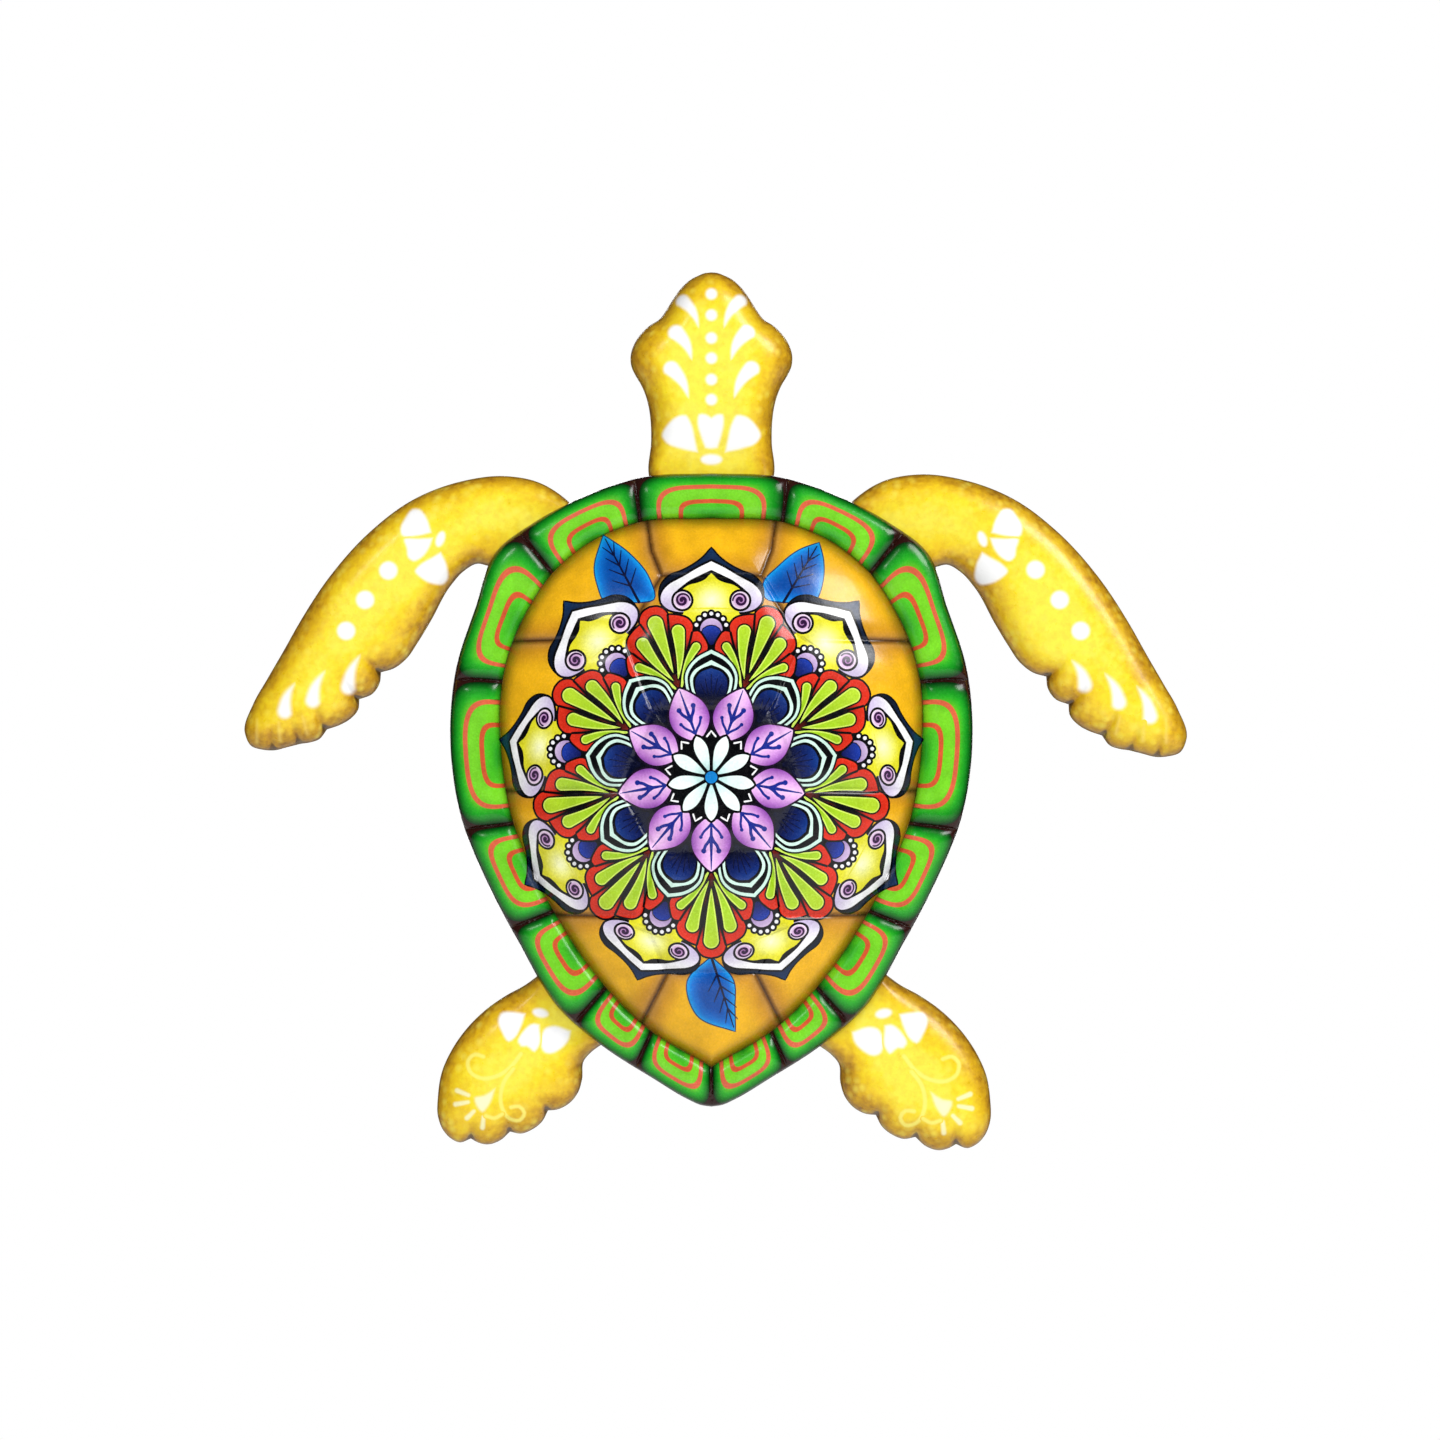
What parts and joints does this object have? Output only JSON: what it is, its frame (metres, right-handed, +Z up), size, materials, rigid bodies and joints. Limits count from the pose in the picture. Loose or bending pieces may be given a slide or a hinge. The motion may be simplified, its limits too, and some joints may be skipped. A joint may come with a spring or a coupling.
{
  "type": "sheet metal wall plaque",
  "caption": "Embossed sea turtle wall plaque in painted sheet metal, with a printed mandala shell, riveted gold limbs and a swinging ring at the back to hang it by.",
  "frame": {"origin": "on the wall plane, at the point where a wall hook bears on the inside of the ring's top when the ring is swung up", "axes": "+Z up (head up) as hung, +Y into the wall, the decorated front faces -Y, +X to the viewer's right"},
  "size_m": [0.3296, 0.036, 0.3077],
  "materials": {
    "printed_shell": "gloss clear coat over print",
    "gold_paint": "airbrushed gloss",
    "black_paint": "satin",
    "zinc_steel": "zinc plated"
  },
  "bodies": {
    "plaque": {"carapace": "printed_shell", "head": "gold_paint", "front_flipper_left": "gold_paint", "front_flipper_right": "gold_paint", "hind_flipper_left": "gold_paint", "hind_flipper_right": "gold_paint", "cross_strap": "black_paint", "hanger_clip": "zinc_steel", "limb_rivets": "zinc_steel", "strap_rivets": "zinc_steel", "hanger_rivet": "zinc_steel"},
    "ring": {"hanger_ring": "zinc_steel"}
  },
  "joints": [
    {"name": "ring_swing", "type": "hinge", "parent": "plaque", "child": "ring", "pos_m": [0, -0.00419, -0.01575], "axis": [1, 0, 0], "range_deg": [-105, 180]}
  ]
}
